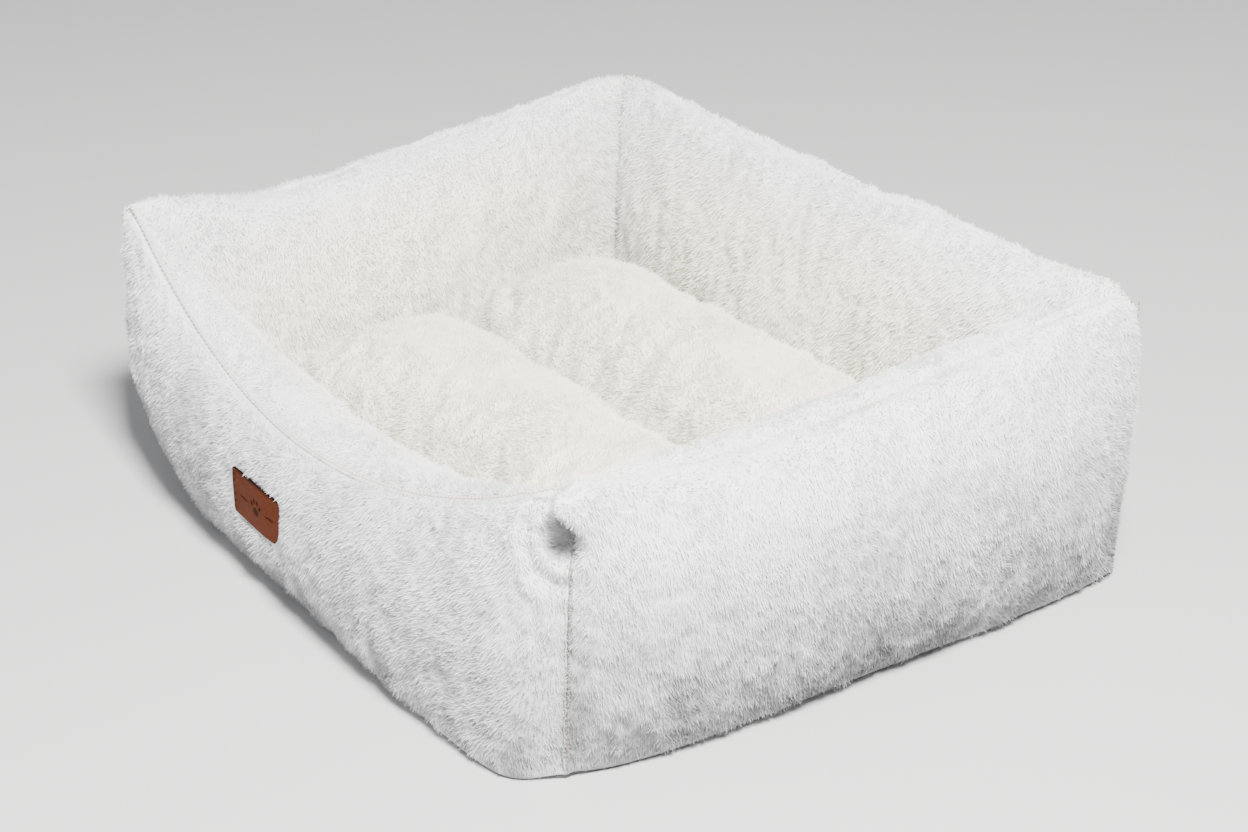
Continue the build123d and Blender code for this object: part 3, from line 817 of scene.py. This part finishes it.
# ---- Steps of the build ----
def build_wall(wall):
    """Builds one wall's skin, and the pile of its outer and of its inner side."""
    s, n, z, mitre = wall.grid()
    index = np.arange(n.size).reshape(n.shape)
    after = np.roll(index, -1, axis=1)
    quads = np.stack([index[:-1], after[:-1], after[1:], index[1:]], axis=-1).reshape(-1, 4)
    faces = list(quads) + zip_up(index[0], z[0], True) + zip_up(index[-1], z[-1], False)
    form = new_object(f"{wall.name}_wall", wall.place(s, n, z).reshape(-1, 3), faces)
    sewn = mitre.copy()
    sewn[:, [0, ROWS]] = sewn[:, 2 * ROWS :] = sewn[[0, -1]] = True
    puffed = blow_up(form, sewn.ravel(), limit=0.012, keep=0.25)
    if wall.name == "front":
        puffed = press_tag(puffed)

    def past_seam(points):
        return points @ wall.outward - wall.offset - wall.seam_n(wall.along_share(points))

    def outside(points):
        return past_seam(points) > 0

    def inside(points):
        return ~outside(points)

    # Only the front's crown seam shows fully in the pile.
    crown = wall.place(s[:, 0], wall.seam_n(s[:, 0]), wall.crown(s[:, 0]))
    parting = near_line(puffed, crown, sizes().seam_parting) * (1.0 if wall.name == "front" else 0.2)
    for end in (-1, 1):
        corner = wall.place(np.array([end, end]), np.array([0.0, 0.0]), np.array([0.0, 0.2]))
        parting = np.maximum(parting, 0.5 * near_line(puffed, corner, 0.0020))
    under = puffed[:, 2] < 2.5 * MM
    # The bare patch behind the tag is wider at the side where pile would hide the tag's edge.
    behind_tag = (
        (np.abs(puffed[:, 0] - TAG_X - 2.5 * MM) < TAG_W / 2 + 5.5 * MM)
        & (np.abs(puffed[:, 2] - TAG_Z) < TAG_H / 2 + 3.0 * MM)
        & (puffed[:, 1] < -HALF_Y)
    )
    to_corner = wall.half * (1 - np.abs(s)) + np.zeros_like(n)
    hidden = (mitre & (to_corner > 3 * MM)).ravel() & (spread_from(puffed, GATHER) > 0.034)
    # Painted shade towards the floor on the outer walls, full on the right wall and weaker on the others.
    shade_painted = fade(puffed[:, 2], PAINTED_SHADE_HEIGHT) * outside(puffed) * (1.0 if wall.name == "right" else 0.7)
    # The inside ramp tints the inner side of the wall with painted warm bounce light.
    set_attributes(
        form, parting=parting, inside=np.clip(-(past_seam(puffed) + 0.028) / 0.03, 0, 1),
        bald=under | hidden | behind_tag, shadow=gathered(puffed), matted=shade_painted,
    )
    write_points(form, overlap_ends(settle_corners(puffed), wall.name))
    nodes = [f"{wall.name}_{part}" for part in ("outer_panel", "inner_panel", "wall_filling")]
    clothe(
        form, f"{wall.name}_wall", "bed", "wall pile", nodes, 0.5,
        zones=(("_outer", outside), ("_inner", inside)),
    )


def press_tag(points):
    """Draws the skin in behind the tag."""
    near = (
        np.exp(-(((points[:, 0] - TAG_X) / (TAG_W * 0.62)) ** 4))
        * np.exp(-(((points[:, 2] - TAG_Z) / (TAG_H * 0.75)) ** 4))
        * (points[:, 1] < -HALF_Y)
    )
    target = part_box("leather_tag")[1][1] + 3.0 * MM
    points[:, 1] += near * np.maximum(0, target - points[:, 1])
    return points


class PETBED_OT_walls(bpy.types.Operator):
    """Build the four stuffed walls and their pile"""

    bl_idname = "petbed.walls"
    bl_label = "Walls"

    def execute(self, context):
        for wall in WALLS:
            build_wall(wall)
        return {"FINISHED"}


def build_cushion():
    low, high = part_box("cushion_top_panel")
    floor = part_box("cushion_bottom_panel")[0][2] + 0.5 * MM
    rim, half = low[2], (high[0] - low[0]) / 2 - 3.0 * MM
    # a runs along the lobes and b across them, each from -1 to 1; across is the same within a lobe.
    a = np.linspace(-1, 1, int(2 * half / CELL) + 1)
    b = np.linspace(-1, 1, 2 * int((high[1] - low[1]) / CELL / 2) + 1)
    a, b = np.meshgrid(a, b, indexing="ij")
    across = 2 * np.abs(b) - 1
    x = a * half
    front_wall = WALLS[0]
    front = -(HALF_Y - front_wall.full(x / front_wall.half) * 0.0600 - SEAM_DEPTH - 0.0075)
    front = np.maximum(front, low[1] + 2.0 * MM)
    rear = high[1] - 3.0 * MM
    y = np.where(b < 0, -b * front, b * rear) * (1 - 0.02 * a**4)
    x = x * (1 - 0.025 * np.abs(b) ** 3 * np.abs(a) ** 3)
    crest = np.where(b < 0, high[2] - 11.0 * MM, high[2] + 2.0 * MM)  # the rear lobe rides higher
    lobe = np.clip(1 - np.abs(across) ** np.where((b > 0) & (across > 0), 4.5, 2.7), 0, 1) ** 0.5
    ends = np.clip(1 - np.abs(a) ** 7, 0, 1) ** 0.5
    base = rim + 0.024 * (1 - a**4) * (1 - np.abs(b)) ** 2
    # Folds ring the ends of the lobes, where the cover is gathered into the channel.
    ring = np.hypot((np.abs(a) - 0.55) / 0.45, across * 0.9)
    folds = np.cos(ring * 2 * np.pi / 0.30) * np.clip((np.abs(a) - 0.62) / 0.2, 0, 1)
    folds = folds * np.clip(1 - np.abs(a) ** 8, 0, 1)
    top = base + (crest - base) * lobe * ends + 1.8 * MM * folds * lobe
    bottom = base - (base - floor) * lobe * ends
    # The two sheets share the points of the rim.
    index = np.arange(a.size).reshape(a.shape)
    under = index + a.size
    at_rim = np.zeros_like(index, bool)
    at_rim[[0, -1]] = at_rim[:, [0, -1]] = True
    under[at_rim] = index[at_rim]
    faces = [*grid_quads(index), *grid_quads(under)[:, ::-1]]
    points = np.concatenate([np.stack([x, y, z], -1).reshape(-1, 3) for z in (top, bottom)])
    used = np.unique(np.concatenate(faces))
    fresh = np.full(len(points), -1)
    fresh[used] = np.arange(len(used))
    form = new_object("seat_cushion", points[used], [fresh[face] for face in faces])
    channel = np.tile((np.abs(b) < 1e-6).ravel(), 2)[used] & (np.abs(points[used, 0]) < half * 0.97)
    puffed = blow_up(form, np.tile(at_rim.ravel(), 2)[used] | channel, limit=0.012, keep=0.2)
    puffed[:, 2] = np.maximum(puffed[:, 2], floor)
    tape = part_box("zip_upper_tape")
    zipped = (
        (puffed[:, 1] > rear - 0.014) & (np.abs(puffed[:, 0]) < tape[1][0] + 9 * MM)
        & (np.abs(puffed[:, 2] - rim) < ZIP_BAND)
    )
    # The slider's inner wing runs between the tape and the skin.
    puffed[zipped, 1] = np.minimum(puffed[zipped, 1], tape[0][1] - 1.6 * MM)
    write_points(form, puffed)
    channel_line = ((-0.98, 0.004), (-0.7, 0.018), (0, 0.024), (0.7, 0.018), (0.98, 0.004))
    line = np.array([[along * half, 0, rim + rise] for along, rise in channel_line])
    none = np.zeros(len(puffed))
    # The whole cushion is inside, so all of it takes the warm tint of painted bounce light.
    set_attributes(
        form, parting=0.6 * near_line(puffed, line, 0.006), inside=none + 1, shadow=none, matted=none,
        bald=zipped | (puffed[:, 2] < floor + 4 * MM),
    )
    nodes = [
        "cushion_top_panel", "cushion_bottom_panel", "front_lobe_filling", "rear_lobe_filling", "channel_stitching"
    ]
    clothe(
        form, "seat_cushion", "cushion", "cushion pile", nodes, 0.0,
        zones=(("_front", lambda points: points[:, 1] < 0), ("_rear", lambda points: points[:, 1] >= 0)),
    )


class PETBED_OT_cushion(bpy.types.Operator):
    """Build the two-lobed seat cushion and its pile"""

    bl_idname = "petbed.cushion"
    bl_label = "Seat cushion"

    def execute(self, context):
        build_cushion()
        return {"FINISHED"}


def build_seams():
    s = np.linspace(-0.985, 0.985, 120)
    for wall in WALLS:
        # The front's thread stands proud of its groove; the others lie in theirs.
        proud, radius = (2.5 * MM, 1.0 * MM) if wall.name == "front" else (0.4 * MM, 0.6 * MM)
        height = wall.crown(s) - sizes().groove_depth * 0.25 + proud
        line = settle_corners(wall.place(s, wall.seam_n(s), height))
        stitch_line(f"{wall.name}_crown_seam", line, "bed", "thread", radius=radius, stitch=0.95)
    inset = 0.6 * MM
    for name, height in CORNER_HEIGHT.items():
        z = np.linspace(0.006, height - 0.012, 40)
        x, y = corner_side(name) * (HALF_X - inset, HALF_Y - inset)
        line = settle_corners(np.stack([np.full_like(z, x), np.full_like(z, y), z], -1))
        thread = stitch_line(
            f"{name}_seam", line, "bed", "corner thread", radius=0.5 * MM, stitch=0.8
        )
        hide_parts(f"{name}_corner_seam")


class PETBED_OT_seams(bpy.types.Operator):
    """Lay the thread of the crown seams and the corner seams"""

    bl_idname = "petbed.seams"
    bl_label = "Seams"

    def execute(self, context):
        build_seams()
        return {"FINISHED"}


def build_base():
    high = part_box("base_top_panel")[1]
    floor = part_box("base_padding")[0][2]
    half_x, half_y, top = high[0] - 2 * MM, high[1] - 2 * MM, high[2] - 0.3 * MM
    inset, quilting = 0.026, 0.07
    a, b = np.meshgrid(np.linspace(-1, 1, 91), np.linspace(-1, 1, 73), indexing="ij")
    x = a * (half_x - inset * (1 - b**2) * np.abs(a) ** 3)
    y = b * (half_y - inset * (1 - a**2) * np.abs(b) ** 3)
    pillow = (np.clip(1 - a**24, 0, 1) * np.clip(1 - b**24, 0, 1)) ** 0.5
    quilt = 1 - 0.12 * (np.cos(x * 2 * np.pi / quilting) ** 8 + np.cos(y * 2 * np.pi / quilting) ** 8)
    z = floor + 0.3 * MM + (top - floor - 0.6 * MM) * pillow * quilt
    pad = new_object("base_pad", *slab(np.stack([x, y, z], -1), np.stack([x, y, np.full_like(x, floor)], -1)))
    smooth(pad)
    wear(pad, "lining")
    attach(pad, "bed")
    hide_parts("base_top_panel", "base_padding")

    dot_height = 0.6 * MM
    t = np.linspace(-0.995, 0.995, 60)
    # The walls run clockwise, so each side is reversed to join the next one.
    outline = np.concatenate([
        wall.place(t, wall.bow * (1 - t**4) - wall.tuck * wall.full(t) - 4.0 * MM, dot_height)[::-1]
        for wall in (WALLS[0], WALLS[3], WALLS[1], WALLS[2])
    ])
    outline = settle_corners(outline * (0.975, 0.975, 1.0))
    outline[:, 2] = dot_height
    bottom = new_object("underside", outline, [range(len(outline))])
    thick = bottom.modifiers.new("thickness", "SOLIDIFY")
    thick.thickness = 1.0 * MM
    thick.offset = 1.0 if bottom.data.polygons[0].normal.z > 0 else -1.0
    bake(bottom)
    wear(bottom, "underside")
    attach(bottom, "bed")
    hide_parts("base_bottom_panel")
    pitch = sizes().grip_pitch
    spots = []
    for i in range(-40, 41):
        for j in range(-40, 41):
            x, y = (i + 0.5 * (j % 2)) * pitch, j * pitch * 0.866
            if abs(x) < HALF_X - 12 * MM and abs(y) < HALF_Y - 12 * MM and abs(x) + abs(y) < 0.445:
                spots.append((x, y, 0.0))
    dots = new_object("grip_dots", spots, [])
    dot_tree().run(dots, Radius=sizes().grip_radius, Height=dot_height + 0.1 * MM, Material=material("grip"))
    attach(dots, "bed")


class PETBED_OT_base(bpy.types.Operator):
    """Build the lining, the padding and the gripping underside of the base"""

    bl_idname = "petbed.base"
    bl_label = "Base"

    def execute(self, context):
        build_base()
        return {"FINISHED"}


def build_tag():
    low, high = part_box("leather_tag")
    width, tall, thick = high[0] - low[0], high[2] - low[2], high[1] - low[1]
    middle_x, middle_z, back = (low[0] + high[0]) / 2, (low[2] + high[2]) / 2, high[1]
    tilt, curl = math.radians(-1.5), 1.1 * MM
    a, b = np.meshgrid(np.linspace(-1, 1, 161), np.linspace(-1, 1, 85), indexing="ij")
    x, z = a * width / 2, b * tall / 2
    # The grid's corners are pulled in along a rounded outline.
    corner = 2.5 * MM
    straight_x, straight_z = width / 2 - corner, tall / 2 - corner
    over_x = np.maximum(np.abs(x) - straight_x, 0) / corner
    over_z = np.maximum(np.abs(z) - straight_z, 0) / corner
    far = np.hypot(over_x, over_z)
    pull = np.where(far > 0, np.maximum(over_x, over_z) / np.maximum(far, 1e-9), 1.0)
    at_corner = (over_x > 0) & (over_z > 0)
    x = np.where(at_corner, np.sign(x) * (straight_x + over_x * pull * corner), x)
    z = np.where(at_corner, np.sign(z) * (straight_z + over_z * pull * corner), z)

    def spot(at_x, at_z, half_x, half_z, turn=0.0):
        """A pressed oval."""
        cos, sin = math.cos(turn), math.sin(turn)
        along, up = (x - at_x) * cos + (z - at_z) * sin, -(x - at_x) * sin + (z - at_z) * cos
        return np.clip(1.5 - ((along / half_x) ** 2 + (up / half_z) ** 2) * 1.5, 0, 1)

    def tilted(x, z):
        cos, sin = math.cos(tilt), math.sin(tilt)
        return x * cos - z * sin + middle_x, x * sin + z * cos + middle_z

    pressed = spot(0, -2.6 * MM, 4.6 * MM, 3.6 * MM)  # the paw's pad
    for at_x, at_z, turn in ((-5.6, 1.6, 0.5), (-2.1, 4.4, 0.15), (2.1, 4.4, -0.15), (5.6, 1.6, -0.5)):
        pressed = np.maximum(pressed, spot(at_x * MM, at_z * MM, 1.5 * MM, 2.3 * MM, turn))
    for side in (-1, 1):  # a rule on each side of the paw
        pressed = np.maximum(pressed, spot(side * 17.5 * MM, -0.2 * MM, 7.0 * MM, 0.75 * MM))
    edge = np.maximum(np.abs(a) ** 60, np.abs(b) ** 40)
    wave = 0.35 * MM * np.sin(a * 3.1 + 0.6) + 0.25 * MM * np.cos(b * 2.2 + a)
    bend = -curl * (a**2)
    face = thick * (1 - 0.30 * edge) - 0.55 * MM * pressed + wave
    x, z = tilted(x, z)
    front, rear = (np.stack([x, back - depth - bend, z], -1) for depth in (face, wave * 0.6))
    tag = new_object("tag", *slab(front, rear))
    # Burnt edges and the pressed figure, and a band along the top edge that is painted shadow cast by the pile
    # above.
    burnt_and_shaded = np.clip(pressed * 0.85 + edge + 0.35 * np.clip((b - 0.86) / 0.1, 0, 1), 0, 1).ravel()
    set_attributes(tag, pressed=np.concatenate([burnt_and_shaded, np.ones_like(burnt_and_shaded)]))
    smooth(tag)
    wear(tag, "leather")
    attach(tag, "bed")
    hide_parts("leather_tag")
    side_x = width / 2 - 3.5 * MM
    depth = back - thick + curl * (side_x / (width / 2)) ** 2 - 0.15 * MM
    for name, side in (("left", -1), ("right", 1)):
        x, z = tilted(side * side_x, np.linspace(-tall / 2 + 4 * MM, tall / 2 - 4 * MM, 12))
        line = np.stack([x, np.full_like(z, depth), z], -1)
        thread = stitch_line(
            f"tag_{name}_stitches", line, "bed", "tag thread",
            pitch=4.6 * MM, stitch=0.72, radius=0.42 * MM,
        )
        if name == "left":
            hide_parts("tag_stitching")


class PETBED_OT_tag(bpy.types.Operator):
    """Build the leather tag with its pressed figure and its stitches"""

    bl_idname = "petbed.tag"
    bl_label = "Leather tag"

    def execute(self, context):
        build_tag()
        return {"FINISHED"}


class PETBED_OT_zip(bpy.types.Operator):
    """Finish the zip in the cushion's rear edge"""

    bl_idname = "petbed.zip"
    bl_label = "Zip"

    def execute(self, context):
        for finish, names in {
            "zip tape": ("zip_upper_tape", "zip_lower_tape"),
            "coil": ("zip_upper_coil", "zip_lower_coil"),
            "metal": ("zip_slider", "zip_bottom_stop", "zip_top_stops"),
        }.items():
            for name in names:
                wear(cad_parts[name], finish)
        return {"FINISHED"}


def build_stage():
    scene = bpy.context.scene
    floor = new_object("studio_floor", [(-6, -6, 0), (6, -6, 0), (6, 6, 0), (-6, 6, 0)], [(0, 1, 2, 3)])
    m = Shader("studio floor", Roughness=0.9)
    m.put(colours().floor, m.surface.inputs["Base Color"])
    floor.data.materials.append(m.material)
    world = bpy.data.worlds.new("studio")
    world.use_nodes = True
    sky = world.node_tree.nodes["Background"]
    sky.inputs["Color"].default_value = (0.93, 0.96, 1.0, 1.0)
    sky.inputs["Strength"].default_value = 0.38
    scene.world = world

    def facing(thing, place, target):
        thing.location = place
        thing.rotation_euler = (target - place).to_track_quat("-Z", "Y").to_euler()
        scene.collection.objects.link(thing)

    for name, place, size, power, rgb in (
        ("key", (1.30, -0.55, 2.10), 0.55, 268.0, (1.0, 0.99, 0.97)),
        ("front fill", (-0.6, -2.3, 1.1), 1.8, 10.0, (0.93, 0.95, 1.0)),
    ):
        lamp = bpy.data.lights.new(name, "AREA")
        lamp.size, lamp.energy, lamp.color = size, power, rgb
        facing(bpy.data.objects.new(name, lamp), Vector(place), Vector((0, 0, 0.1)))
    azimuth, elevation, distance = math.radians(54.5), math.radians(25.0), 1.758
    target = Vector((0.0567, -0.0183, 0.100))
    level = math.cos(elevation)
    back = Vector((math.sin(azimuth) * level, -math.cos(azimuth) * level, math.sin(elevation)))
    lens = bpy.data.cameras.new("camera")
    lens.lens, lens.sensor_width = 75.0, 36.0
    scene.camera = bpy.data.objects.new("camera", lens)
    facing(scene.camera, target + back * distance, target)


class PETBED_OT_stage(bpy.types.Operator):
    """Set up the pale floor, the soft studio light and the camera"""

    bl_idname = "petbed.stage"
    bl_label = "Stage"

    def execute(self, context):
        build_stage()
        return {"FINISHED"}


# ---- Add-on ----
OPERATORS = (
    PETBED_OT_walls, PETBED_OT_cushion, PETBED_OT_seams, PETBED_OT_base,
    PETBED_OT_tag, PETBED_OT_zip, PETBED_OT_stage,
)


class PETBED_PT_panel(bpy.types.Panel):
    bl_label = "Pet Bed"
    bl_idname = "PETBED_PT_panel"
    bl_space_type = "VIEW_3D"
    bl_region_type = "UI"
    bl_category = "Pet Bed"

    def draw(self, context):
        for group in (context.scene.pet_bed_sizes, context.scene.pet_bed_colours):
            for name in group.__annotations__:
                self.layout.prop(group, name)
        for operator in OPERATORS:
            self.layout.operator(operator.bl_idname)


CLASSES = (PetBedSizes, PetBedColours, *OPERATORS, PETBED_PT_panel)


def register():
    for cls in CLASSES:
        bpy.utils.register_class(cls)
    bpy.types.Scene.pet_bed_sizes = bpy.props.PointerProperty(type=PetBedSizes)
    bpy.types.Scene.pet_bed_colours = bpy.props.PointerProperty(type=PetBedColours)


def unregister():
    del bpy.types.Scene.pet_bed_sizes
    del bpy.types.Scene.pet_bed_colours
    for cls in reversed(CLASSES):
        bpy.utils.unregister_class(cls)


def main():
    register()
    for operator in OPERATORS:
        group, name = operator.bl_idname.split(".")
        getattr(getattr(bpy.ops, group), name)()


if __name__ == "__main__":
    main()
